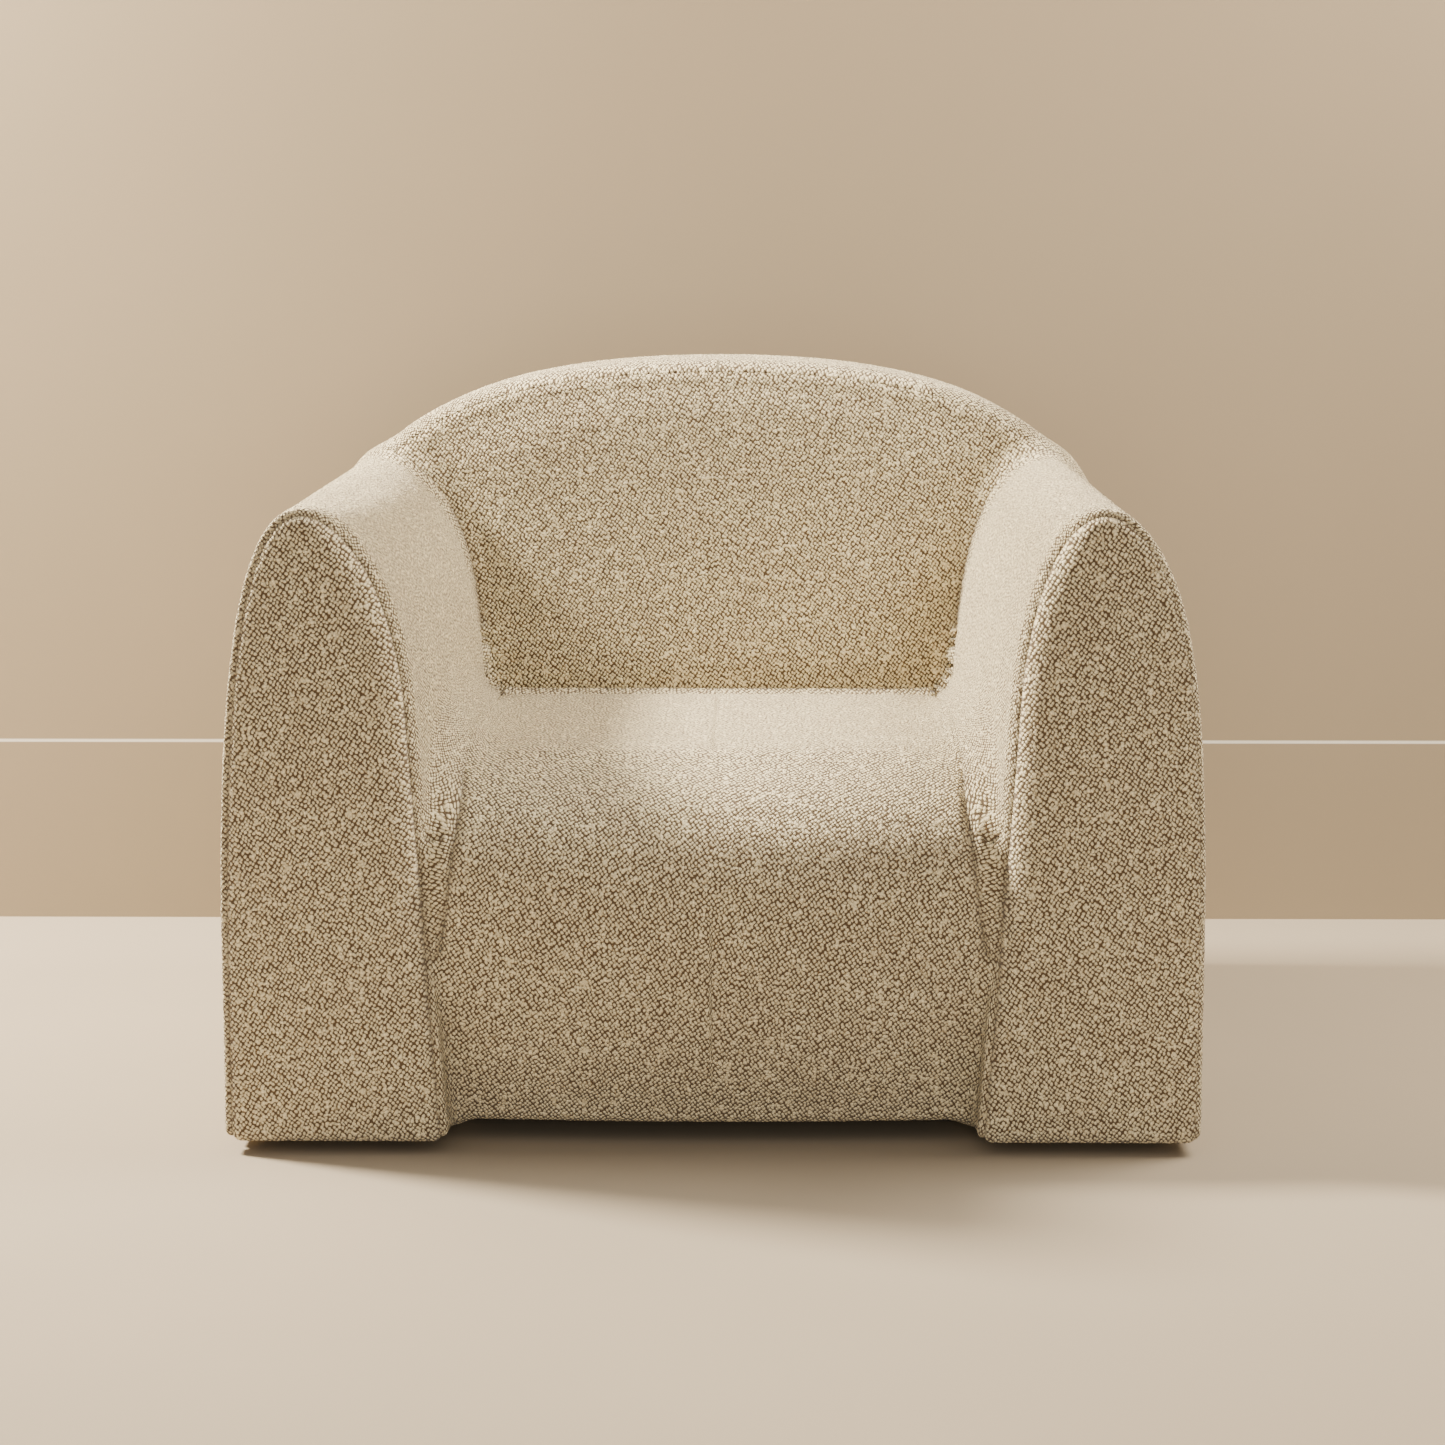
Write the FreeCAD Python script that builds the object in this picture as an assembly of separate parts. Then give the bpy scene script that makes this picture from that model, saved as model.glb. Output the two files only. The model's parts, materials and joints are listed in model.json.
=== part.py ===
"""Upholstered armchair: a plywood and beech frame, webbing, foam pads and a sewn fabric cover.

Frame: front faces -Y, +Z up, +X to the right of someone facing the chair.
Origin: centre of the footprint, on the floor. Millimetres.

Everything soft follows two forms. An arm is a rounded arch carried from front to back, and the
back is a bell-shaped slab behind a reclined plane. Cover, foam and board are layers of a form.
"""
import FreeCAD
import Part
import math
import os
from FreeCAD import Vector

# ---- overall sizes
overall_width = 1000.0
overall_depth = 880.0
overall_height = 788.0

# ---- arms
arm_height = 665.0
arm_width = 234.0  # at the floor, at the front
arm_ridge_setback = 98.0  # ridge to the outer side
arm_inner_lean = 31.0  # how far the inner side leans outwards from floor to shoulder
arm_rear_swell = 28.0  # how much thicker the arm is on its inner side at the back
arm_outer_shoulder = 200.0  # height where the outer side starts to round
arm_inner_drop = 215.0  # ridge to the height where the inner side starts to round
arm_outer_pull = 0.94  # how long the curve keeps to the side's direction, 0 to 1
arm_outer_crown = 0.38  # how long it keeps level at the ridge
arm_inner_pull = 0.74
arm_inner_crown = 0.30

# ---- back
back_shoulder = 250.0
back_side_pull = 0.64
back_top_pull = 0.98
recline = 9.0  # degrees
back_bottom_thickness = 285.0  # at seat height, cover to cover

# ---- seat
seat_height = 395.0
seat_roll_depth = 170.0
seat_roll_height = 190.0
roll_pull = 0.55
seat_toe_recess = 45.0
seat_toe_height = 200.0
seat_underside = 18.0
seat_side_rise = 62.0  # radius of the hollow where the seat meets an arm

# ---- layers
cover = 2.0
foam = 28.0
ply = 15.0
board = 12.0
gap = 0.5  # between two layers
front_foam = 30.0
top_roll_start = 55.0  # above the inner shoulder
seat_foam_thickness = 110.0
seat_front_foam = 45.0
back_foam_thickness = 60.0
outer_back_foam_thickness = 15.0

# ---- frame
glide_height = 8.0
glide_radius = 16.0
glide_inset = 70.0
rail_thickness = 28.0
rail_height = 80.0
post_width = 50.0
post_depth = 40.0
block_size = 60.0
web_width = 50.0
web_thickness = 2.0
long_webs = 5
cross_webs = 4
arm_bolt_radius = 4.0
arm_bolt_head_radius = 8.0
arm_bolts = 3  # on each side
bolt_head = 5.0
bolt_length = 44.0  # under the head
nut_radius = 9.0
nut_clearance = 1.0  # the board behind the nut leans
screw_radius = 2.0
screw_head_radius = 4.0
screw_head = 3.0

# ---- worked out from the sizes above
y_front = -overall_depth / 2
y_back = overall_depth / 2
x_outer = overall_width / 2
base = glide_height
arm_inner_shoulder = arm_height - arm_inner_drop
slope = math.tan(math.radians(recline))
y_crease = y_back - back_bottom_thickness
arm_run = overall_depth
foam_inner = cover + gap + foam  # depth of the foam's inner face below the surface
board_inner = foam_inner + gap + board
shoulder_plane = arm_inner_shoulder + top_roll_start  # side pads stop here, the top roll starts
far = 2 * (overall_width + overall_depth + overall_height)
OUT = Vector(1, 0, 0)
nodes = {}


def box(x0, x1, y0, y1, z0, z1):
    """A box between two corners."""
    return Part.makeBox(x1 - x0, y1 - y0, z1 - z0, Vector(x0, y0, z0))


def cylinder(radius, height, place, direction=Vector(0, 0, 1)):
    return Part.makeCylinder(radius, height, place, direction)


def mirrored(shape):
    """The same piece on the other side of the chair."""
    return shape.mirror(Vector(0, 0, 0), Vector(1, 0, 0))


def save(name, shape):
    """Keeps a node, made of one solid or of several separate ones."""
    solids = shape.removeSplitter().Solids
    nodes[name] = solids[0] if len(solids) == 1 else Part.makeCompound(solids)


def save_pair(name, shape):
    """Keeps the right-hand piece and its mirror image."""
    save("right_" + name, shape)
    save("left_" + name, mirrored(shape))


def curve(*points):
    """A Bezier curve with these poles."""
    bezier = Part.BezierCurve()
    bezier.setPoles([Vector(*p) for p in points])
    return bezier.toShape()


def shoulder(side_x, side_z, top_x, top_z, y, lean, side_pull, top_pull):
    """The poles of a rounded shoulder, from a side that may lean to a level top."""
    rise = side_pull * (top_z - side_z)
    return [
        (side_x, y, side_z),
        (side_x + lean * rise, y, side_z + rise),
        (top_x + top_pull * (side_x - top_x), y, top_z),
        (top_x, y, top_z),
    ]


def arm_section(inset, share):
    """The edges of the right arm's outline, inset from its surface, from share 0 at the front to 1."""
    y = y_front + arm_run * share
    swell = arm_rear_swell * share
    outer = x_outer - inset
    ridge = x_outer - arm_ridge_setback
    inner_foot = x_outer - arm_width + inset - swell
    inner_shoulder = inner_foot + arm_inner_lean
    top = arm_height - inset
    lean = arm_inner_lean / (arm_inner_shoulder - base)
    up = shoulder(outer, arm_outer_shoulder, ridge, top, y, 0, arm_outer_pull, arm_outer_crown)
    down = shoulder(inner_shoulder, arm_inner_shoulder, ridge, top, y, lean,
                    arm_inner_pull, arm_inner_crown)
    down.reverse()
    foot_out = (outer, y, base)
    foot_in = (inner_foot, y, base)
    return [
        Part.makeLine(Vector(*foot_out), Vector(*up[0])),
        curve(*up),
        curve(*down),
        Part.makeLine(Vector(*down[-1]), Vector(*foot_in)),
        Part.makeLine(Vector(*foot_in), Vector(*foot_out)),
    ]


def arm_form(inset):
    """The right arm as one solid: each edge of the front outline is ruled to the one at the back."""
    front = arm_section(inset, 0)
    rear = arm_section(inset, 1)
    faces = [Part.makeRuledSurface(a, b) for a, b in zip(front, rear)]
    faces += [Part.Face(Part.Wire(front)), Part.Face(Part.Wire(rear))]
    shell = Part.makeShell(faces)
    shell.sewShape()
    solid = Part.Solid(shell)
    if solid.Volume < 0:
        solid.reverse()
    return solid


def bell_form(inset):
    """The back's outline as a solid that runs from front to back."""
    outer = x_outer - inset
    right = shoulder(outer, back_shoulder, 0, overall_height - inset, y_front, 0,
                     back_side_pull, back_top_pull)
    left = [(-x, y, z) for x, y, z in reversed(right)]
    foot_right = Vector(outer, y_front, base)
    foot_left = Vector(-outer, y_front, base)
    edges = [
        Part.makeLine(foot_right, Vector(*right[0])),
        curve(*right),
        curve(*left),
        Part.makeLine(Vector(*left[-1]), foot_left),
        Part.makeLine(foot_left, foot_right),
    ]
    return Part.Face(Part.Wire(edges)).extrude(Vector(0, overall_depth, 0))


def behind(depth):
    """Everything behind the reclined plane that lies so far behind the back's front face."""
    low = Vector(-far, y_crease + depth - slope * (far + seat_height), -far)
    high = Vector(-far, y_crease + depth + slope * (far - seat_height), far)
    corners = [low, high, Vector(-far, far, far), Vector(-far, far, -far), low]
    return Part.Face(Part.makePolygon(corners)).extrude(Vector(2 * far, 0, 0))


def slab(near, deep):
    """The layer of space between two depths behind the back's front face."""
    return behind(near).cut(behind(deep))


def level(z0, z1):
    return box(-far, far, -far, far, z0, z1)


def seat_profile(inset, top):
    """The seat's outline seen from the side: flat top, rolled front, toe drawn in."""
    y0 = y_front + inset
    z_top = top - inset
    widest = z_top - seat_roll_height
    toe = widest - seat_toe_height
    y_end = y_crease + back_bottom_thickness
    top_edge = (0, y0 + seat_roll_depth, z_top)
    roll = curve(top_edge, (0, y0 + seat_roll_depth * (1 - roll_pull), z_top),
                 (0, y0, widest + seat_roll_height * roll_pull), (0, y0, widest))
    belly = max(toe, seat_underside + 1.0)
    bulge = Part.Arc(Vector(0, y0, widest), Vector(0, y0 + seat_toe_recess / 4, (widest + belly) / 2),
                     Vector(0, y0 + seat_toe_recess, belly)).toShape()
    edges = [
        Part.makeLine(Vector(0, y_end, z_top), Vector(*top_edge)),
        roll,
        bulge,
        Part.makeLine(Vector(0, y0 + seat_toe_recess, belly),
                      Vector(0, y0 + seat_toe_recess, seat_underside)),
        Part.makeLine(Vector(0, y0 + seat_toe_recess, seat_underside), Vector(0, y_end, seat_underside)),
        Part.makeLine(Vector(0, y_end, seat_underside), Vector(0, y_end, z_top)),
    ]
    return Part.Face(Part.Wire(edges))


def hollow_above_seat(inset):
    """The trough that the sitter uses: flat floor, rounded up into the arms."""
    half = x_outer - arm_width + arm_inner_lean
    low = seat_height - inset
    trough = box(-half, half, y_front - foam, far, low, far)
    edges = [e for e in trough.Edges
             if abs(e.CenterOfMass.z - low) < 1 and abs(abs(e.CenterOfMass.x) - half) < 1]
    return trough.makeFillet(seat_side_rise, edges)


def seat_block(inset):
    """The seat before it is trimmed to its neighbours, with its sides running up the arms."""
    half = x_outer - arm_width / 2
    face = seat_profile(inset, seat_height + seat_side_rise)
    face.translate(Vector(-half, 0, 0))
    return face.extrude(Vector(2 * half, 0, 0)).cut(hollow_above_seat(inset))


def trimmed(shape):
    """The shape between the arms and in front of the back."""
    arm = arm_form(-gap)
    return shape.cut(arm).cut(mirrored(arm)).cut(behind(-gap))


# ---- levels of the seat frame
web_top = seat_height - cover - gap - seat_foam_thickness
z_rail = web_top - web_thickness - gap
z_side_rail = z_rail - web_thickness - gap
y_board = y_front + max(cover + gap + seat_front_foam, seat_toe_recess + foam)
y_frame = y_board + gap
under_seat = box(-x_outer + arm_width / 2, x_outer - arm_width / 2, y_board, far, -far, web_top + gap)

# ---- arms: cover, foam, boards, each a layer of the arm's form
arm_surface = arm_form(0)
arm_lining = arm_form(cover)
arm_foam_face = arm_form(cover + gap)
arm_foam_back = arm_form(foam_inner)
arm_board_face = arm_form(foam_inner + gap)
arm_board_back = arm_form(board_inner)
arm_cavity = arm_form(board_inner + gap)

in_front_of_back = box(-far, far, -far, far, -far, far).cut(behind(-gap))
y_pad_front = y_front + cover + gap
y_pad_back = y_pad_front + front_foam
y_former_front = y_pad_back + gap
y_former_back = y_former_front + ply
y_side = y_former_front
ridge_x = x_outer - arm_ridge_setback
outer_half = box(ridge_x, far, -far, far, -far, far)
inner_half = box(-far, ridge_x, -far, far, -far, far)
behind_pad = box(-far, far, y_side, far, -far, far)
side_band = level(base, shoulder_plane - gap)

front_skin = box(-far, far, y_front, y_front + cover, -far, far)
save_pair("arm_front_cover", arm_surface.common(front_skin))
arm_sleeve = arm_surface.cut(arm_lining).common(in_front_of_back)
arm_sleeve = arm_sleeve.cut(box(-far, far, -far, y_front + cover + gap, -far, far))
save_pair("arm_cover", arm_sleeve.cut(level(-far, base + cover + gap)).cut(under_seat))
save_pair("arm_front_foam", arm_foam_face.common(box(-far, far, y_pad_front, y_pad_back, -far, far)))

arm_pad = arm_foam_face.cut(arm_foam_back).common(in_front_of_back).common(behind_pad)
side_pad = arm_pad.common(side_band)
save_pair("arm_outer_foam", side_pad.common(outer_half))
save_pair("arm_inner_foam", side_pad.common(inner_half).cut(under_seat))
save_pair("arm_top_foam", arm_foam_face.common(in_front_of_back).common(behind_pad)
          .common(level(shoulder_plane, far)))

arm_boards = arm_board_face.cut(arm_board_back).common(in_front_of_back).common(side_band)
arm_boards = arm_boards.common(box(-far, far, y_former_back + gap, far, -far, far))
save_pair("arm_outer_board", arm_boards.common(outer_half))
save_pair("arm_inner_board", arm_boards.common(inner_half))

below_top = level(base, shoulder_plane - gap)
former = box(-far, far, y_former_front, y_former_back, -far, far)
save_pair("arm_front_board", arm_board_face.common(former).common(below_top))

y_arm_end = y_crease - slope * seat_height - 2 * gap
arm_core = arm_cavity.common(level(base, shoulder_plane - gap))
y_cavity = y_former_back + gap
save_pair("arm_rear_board", arm_core.common(box(-far, far, y_arm_end - ply, y_arm_end, -far, far)))
y_cavity_end = y_arm_end - ply - gap
cavity_run = box(-far, far, y_cavity, y_cavity_end, -far, far)
save_pair("arm_base_board", arm_core.common(cavity_run).common(level(base, base + ply)))
rail_bottom = shoulder_plane - gap - rail_thickness
save_pair("arm_top_rail", arm_core.common(cavity_run).common(level(rail_bottom, far)))

# ---- seat: cover, foam, front board, rails, webbing
seat_skin = trimmed(seat_block(0).cut(seat_block(cover)))
behind_front = box(-far, far, y_front + seat_roll_depth, far, -far, seat_height - cover - 1.0)
save("seat_cover", seat_skin.cut(level(-far, seat_underside + cover + gap)).cut(behind_front))

seat_foam_form = trimmed(seat_block(cover + gap))
save("seat_foam", seat_foam_form.common(level(web_top + gap, far)))
front_roll = seat_foam_form.common(level(seat_underside + cover + gap, web_top))
save("seat_front_foam", front_roll.common(box(-far, far, -far, y_board, -far, far)))

board_clearance = arm_form(foam_inner)
board_clearance = board_clearance.fuse(mirrored(board_clearance))
y_rail = y_frame + board + gap
y_seat_end = y_arm_end
y_rear_rail = y_seat_end - rail_thickness
y_inside = y_rail + rail_thickness + gap
y_inside_end = y_rear_rail - gap
wide = x_outer - arm_width / 2


def between_boards(x0, x1, y0, y1, z0, z1):
    """A piece of the seat frame, cut to meet the arms' inner boards."""
    return box(x0, x1, y0, y1, z0, z1).cut(board_clearance)


save("seat_front_board",
     between_boards(-wide, wide, y_frame, y_frame + board, seat_underside + cover + gap, z_rail))
save("seat_front_rail",
     between_boards(-wide, wide, y_rail, y_rail + rail_thickness, z_rail - rail_height, z_rail))
save("seat_rear_rail",
     between_boards(-wide, wide, y_rear_rail, y_seat_end, z_rail - rail_height, z_rail))
z_side_low = z_side_rail - rail_height
rail_face = foam_inner - rail_thickness  # how deep in the arm the side rail starts
side_rail = arm_form(rail_face).cut(arm_foam_back).common(inner_half)
save_pair("seat_side_rail",
          side_rail.common(box(0, far, y_inside, y_inside_end, z_side_low, z_side_rail)))


def side_rail_x(y, z):
    """How far out the side rail's inner face is, at a depth and a height."""
    share = (y - y_front) / arm_run
    lean = arm_inner_lean * (z - base) / (arm_inner_shoulder - base)
    return x_outer - arm_width - arm_rear_swell * share + lean + rail_face


x_block = side_rail_x(y_inside_end, z_side_low) - gap
block_face = Part.Face(Part.makePolygon([
    Vector(wide, y_inside, z_side_low),
    Vector(x_block - block_size, y_inside, z_side_low),
    Vector(x_block, y_inside + block_size, z_side_low),
    Vector(wide, y_inside + block_size, z_side_low),
    Vector(wide, y_inside, z_side_low),
]))
front_block = block_face.extrude(Vector(0, 0, rail_height - gap))
y_middle = (y_inside + y_inside_end) / 2
rear_block = front_block.mirror(Vector(0, y_middle, 0), Vector(0, 1, 0))
rail_clearance = arm_form(rail_face - gap)
front_block = front_block.cut(rail_clearance)
rear_block = rear_block.cut(rail_clearance)
save("corner_blocks", Part.makeCompound(
    [front_block, rear_block, mirrored(front_block), mirrored(rear_block)]))


def spread(count, low, high):
    """The centres of count equal shares of the space from low to high."""
    return [low + (high - low) * (i + 0.5) / count for i in range(count)]


webs = []
for x in spread(long_webs, -x_block, x_block):
    webs.append(box(x - web_width / 2, x + web_width / 2, y_rail, y_seat_end, z_rail, z_rail + web_thickness))
save("seat_long_webbing", Part.makeCompound(webs))
webs = []
for y in spread(cross_webs, y_inside, y_inside_end):
    webs.append(between_boards(-wide, wide, y - web_width / 2, y + web_width / 2,
                               z_side_rail, z_side_rail + web_thickness))
save("seat_cross_webbing", Part.makeCompound(webs))

# ---- back: cover, foam, boards, posts and rails
bell = bell_form(0)
bell_lining = bell_form(cover)
bell_foam_face = bell_form(cover + gap)
bell_foam_back = bell_form(foam_inner)
bell_cavity = bell_form(foam_inner + gap)
y_rear_skin = y_back - cover
y_rear_pad = y_rear_skin - gap - outer_back_foam_thickness
y_rear_board = y_rear_pad - gap - board
band_run = behind(cover + gap).cut(box(-far, far, y_rear_skin - gap, far, -far, far))
save("back_rim_cover", bell.cut(bell_lining).common(band_run).cut(level(-far, base + cover + gap)))
save("inner_back_cover", bell.common(slab(0, cover)).common(level(seat_underside + cover, far)))
save("outer_back_cover", bell.common(box(-far, far, y_rear_skin, y_back, -far, far)))

pad_near = cover + gap
pad_deep = pad_near + back_foam_thickness
panel_near = pad_deep + gap
panel_deep = panel_near + board
rear_cut = box(-far, far, y_rear_pad, far, -far, far)
save("inner_back_foam", bell_foam_face.common(slab(pad_near, pad_deep)).cut(rear_cut)
     .common(level(base + cover + gap, far)))
save("back_panel", bell_cavity.common(slab(panel_near, panel_deep))
     .cut(box(-far, far, y_rear_board, far, -far, far)).common(level(base, far)))
save("outer_back_foam", bell_foam_face.common(box(-far, far, y_rear_pad, y_rear_skin - gap, -far, far))
     .common(level(base + cover + gap, far)))
save("outer_back_board", bell_cavity.common(box(-far, far, y_rear_board, y_rear_pad - gap, -far, far)))

rim_run = behind(panel_near).cut(box(-far, far, y_rear_pad - gap, far, -far, far))
rim = bell_foam_face.cut(bell_foam_back).common(rim_run).cut(level(-far, base + cover + gap))
crown_half = x_outer - arm_width
save("back_crown_foam", rim.common(box(-crown_half, crown_half, -far, far, back_shoulder, far)))
save_pair("back_rim_foam", rim.common(box(crown_half + gap, far, -far, far, -far, far)))

back_base_top = base + ply
back_floor = bell_cavity.common(behind(panel_deep + gap)).common(level(base, back_base_top))
save("back_base_board", back_floor.cut(box(-far, far, y_rear_board - gap, far, -far, far)))
post_foot = back_base_top + gap

y_post = y_rear_board - gap - post_depth
x_post = x_outer - arm_width / 2 - post_width
post_space = bell_cavity.common(behind(panel_deep + gap))


def back_piece(x0, x1, z0, z1):
    """A piece of the back frame, cut to fit under the rim foam and behind the back panel."""
    return box(x0, x1, y_post, y_post + post_depth, z0, z1).common(post_space)


z_head = overall_height - foam_inner - 2 * rail_height - gap
save_pair("back_post", back_piece(x_post, x_post + post_width, post_foot, z_head))
save("back_centre_post", back_piece(-post_width / 2, post_width / 2, post_foot + rail_height + gap, z_head))
save("back_head_rail", back_piece(-far / 2, far / 2, z_head + gap, far))
for side, sign in (("right", 1), ("left", -1)):
    inner = post_width / 2 + gap
    outer_end = x_post - gap
    x0, x1 = sorted((sign * inner, sign * outer_end))
    save(side + "_back_cross_rail", back_piece(x0, x1, z_rail - rail_height, z_rail))
save("back_lower_rail", back_piece(-x_post + gap, x_post - gap, post_foot, post_foot + rail_height))

# ---- fasteners: each is cut out of the pieces that it goes through
def through(tool, *names):
    """Makes room for a fastener in the named pieces."""
    for name in names:
        nodes[name] = nodes[name].cut(tool)


bolts, nuts = [], []
z_bolt = z_side_rail - rail_height / 2
for y in spread(arm_bolts, y_inside + block_size, y_inside_end - block_size):
    face = Vector(side_rail_x(y, z_bolt), y, z_bolt)
    seat = face + Vector(bolt_head, 0, 0)
    bolt = cylinder(arm_bolt_head_radius, bolt_head, face, OUT).fuse(
        cylinder(arm_bolt_radius, bolt_length, seat, OUT))
    recess = cylinder(arm_bolt_head_radius + gap, 2 * bolt_head, face - Vector(bolt_head, 0, 0), OUT)
    bore = cylinder(arm_bolt_radius + gap, bolt_length, seat, OUT)
    hole = bore.fuse(recess)
    past_board = box(face.x + board_inner + gap - rail_face + nut_clearance, far, -far, far, -far, far)
    nut = cylinder(nut_radius, bolt_length, seat, OUT).cut(bore).common(past_board)
    bolts += [bolt, mirrored(bolt)]
    nuts += [nut, mirrored(nut)]
    through(hole, "right_seat_side_rail", "right_arm_inner_board")
    through(mirrored(hole), "left_seat_side_rail", "left_arm_inner_board")
save("arm_bolts", Part.makeCompound(bolts))
save("arm_bolt_nuts", Part.makeCompound(nuts))

block_screws = []
for y, direction, reach in ((y_inside, 1, rail_thickness), (y_inside_end, -1, rail_thickness)):
    for height in (0.3, 0.7):
        z = z_side_rail - rail_height * height
        x = x_block - block_size * 0.3
        start = Vector(x, y + direction * block_size * 0.3, z)
        screw = cylinder(screw_radius, block_size * 0.3 + reach * 0.6, start, Vector(0, -direction, 0))
        hole = cylinder(screw_radius + gap / 2, block_size + reach * 0.6,
                        start + Vector(0, direction * block_size * 0.7, 0), Vector(0, -direction, 0))
        for turn in (lambda shape: shape, mirrored):
            block_screws.append(turn(screw))
            through(turn(hole), "corner_blocks", "seat_front_rail", "seat_rear_rail")
save("corner_block_screws", Part.makeCompound(block_screws))

# ---- underside: dust cover, glides
save("dust_cover", trimmed(box(-wide, wide, y_frame, far, seat_underside, seat_underside + cover)))

x_glide = x_outer - arm_width / 2
y_glides = (y_front + glide_inset, y_arm_end - glide_inset, y_back - glide_inset)
glides, glide_screws = [], []
for x in (-x_glide, x_glide):
    for y in y_glides:
        place = Vector(x, y, 0)
        recess = cylinder(screw_head_radius + gap, screw_head, place)
        shaft = cylinder(screw_radius + gap / 2, base + ply, place)
        glides.append(cylinder(glide_radius, base, place).cut(recess).cut(shaft))
        head = cylinder(screw_head_radius, screw_head / 2, place + Vector(0, 0, screw_head / 2))
        glide_screws.append(head.fuse(cylinder(screw_radius, ply, place + Vector(0, 0, screw_head))))
        through(shaft, "left_arm_base_board", "right_arm_base_board", "back_base_board")
save("floor_glides", Part.makeCompound(glides))
save("glide_screws", Part.makeCompound(glide_screws))

os.makedirs("parts", exist_ok=True)
for name, shape in nodes.items():
    shape.exportStep("parts/" + name + ".step")
    print(name, len(shape.Solids), round(shape.Volume / 1e3), shape.isValid())
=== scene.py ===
"""Upholstered armchair: sewn boucle panels over a plywood and beech frame, with its stage.

Metres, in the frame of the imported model: front faces -Y, +Z is up, the origin is on the floor.

The padding is one soft body. Each of its members is a signed depth, negative inside: an arm is a
rounded arch carried from front to back, the back is a bell-shaped slab behind a reclined plane,
and the seat is a rolled profile carried from side to side. Rounded joins turn them into one
surface, which the seams then divide into panels.
"""
import json
import math
import bpy
import numpy as np
from bpy.props import FloatProperty, FloatVectorProperty, PointerProperty
from bpy.types import Operator, Panel, PropertyGroup
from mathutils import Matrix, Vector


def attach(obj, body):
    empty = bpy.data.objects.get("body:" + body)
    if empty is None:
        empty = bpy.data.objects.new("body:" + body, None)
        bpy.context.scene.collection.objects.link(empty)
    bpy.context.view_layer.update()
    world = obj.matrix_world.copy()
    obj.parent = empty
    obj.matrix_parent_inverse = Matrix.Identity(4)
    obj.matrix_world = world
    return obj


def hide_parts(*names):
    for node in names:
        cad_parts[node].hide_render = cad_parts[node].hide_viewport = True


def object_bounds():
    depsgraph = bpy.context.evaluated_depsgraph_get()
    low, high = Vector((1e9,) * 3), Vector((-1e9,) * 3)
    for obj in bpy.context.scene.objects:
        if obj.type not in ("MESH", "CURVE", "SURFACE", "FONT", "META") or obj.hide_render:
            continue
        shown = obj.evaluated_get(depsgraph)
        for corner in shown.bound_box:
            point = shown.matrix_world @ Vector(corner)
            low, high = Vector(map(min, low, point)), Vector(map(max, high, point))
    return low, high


bl_info = {
    "name": "Upholstered Armchair",
    "version": (1, 0, 0),
    "blender": (4, 5, 0),
    "location": "View3D > Sidebar > Armchair",
    "description": "Sewn panels, frame finishes and stage for a rounded armchair",
    "category": "Add Mesh",
}

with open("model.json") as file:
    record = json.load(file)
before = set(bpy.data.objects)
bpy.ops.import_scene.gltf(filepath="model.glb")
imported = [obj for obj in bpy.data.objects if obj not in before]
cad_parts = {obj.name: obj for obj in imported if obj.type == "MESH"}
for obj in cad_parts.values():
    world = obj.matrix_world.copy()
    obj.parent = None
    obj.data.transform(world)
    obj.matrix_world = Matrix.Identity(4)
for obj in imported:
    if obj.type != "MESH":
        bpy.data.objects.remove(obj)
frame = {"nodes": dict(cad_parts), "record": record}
CAD_BOX = [list(corner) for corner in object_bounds()]

# ---- sizes shared with the frame
LEFT, FRONT, _ = CAD_BOX[0]
RIGHT, REAR, TOP = CAD_BOX[1]
DEPTH = REAR - FRONT
BASE = 0.008  # underside of the arms and back
ARM_TOP = 0.665
ARM_WIDTH = 0.234
ARM_OUTER_SHOULDER = 0.200  # height where the outer side starts to round
ARM_INNER_SHOULDER = 0.450
RIDGE = RIGHT - 0.098
INNER_LEAN = 0.031
INNER_FOOT = RIGHT - ARM_WIDTH
INNER_SHOULDER = INNER_FOOT + INNER_LEAN
ARM_SWELL = 0.028  # how much thicker an arm is on its inner side at the rear
RIDGE_RISE = 0.014  # how much higher its ridge is there
RIDGE_DIP = 0.003  # how much lower than the frame's it starts at the front
LEFT_TIP_LEAN = 0.003  # how far outwards the left ridge leans
BUMP_REACH = 0.110  # how far from the ridge the leaning of the tip is felt
BACK_SHOULDER = 0.250
SEAT_TOP = 0.395
SEAT_UNDER = 0.018
SEAT_HALF = 0.27  # half the seat's width, out to the middle of its hollows
SEAT_CROWN = 0.012  # how far its front draws back at the sides
RECLINE = math.radians(9)
CREASE = REAR - 0.285  # where the back's face meets the seat
BELOW = -0.12  # outlines run on below the floor, and the underside is rounded afterwards
GRID = 0.003
ARM_RUN_ON = 0.10  # how far an arm runs on inside the back

# ---- radii of the edges and joins that nobody would set by themselves
ARM_END_RADIUS = 0.030
ARM_UNDER_RADIUS = 0.018
BACK_REAR_RADIUS = 0.030
BACK_UNDER_RADIUS = 0.015
SEAT_SIDE_RADIUS = 0.024
SEAT_UNDER_RADIUS = 0.012
VALLEY_RADIUS = 0.015  # where the seat's front meets an arm
CREASE_RADIUS = 0.006  # where seat and arms meet the back, low down
CREASE_OPENING = 0.022  # how much wider it is higher up
FLUSH_RADIUS = 0.0004  # where an arm's outer side runs into the back's

ARM_FRONT_SEAM = 0.009
RIM_SEAM = 0.018
REAR_SEAM = 0.020
HEM = 0.030
PAD_WALL = 0.006
LIMIT = 20.0  # how many times steeper a panel's limit is than its seam
SNAP_REACH = 0.004  # how far a vertex may move to reach its seam
SHADOW_WIDTH = 0.003  # how wide a seam's painted shadow is, where it also has no knots
RISE_FADE = 0.03  # how far from a seam the padding still rises less
HEM_FADE = 0.05  # how far above the hem it does
AIR_FRAMES = 20
LEVEL_NAMES = ("arm_front", "outer_back", "inner_back", "seat", "arm_cover")

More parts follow.
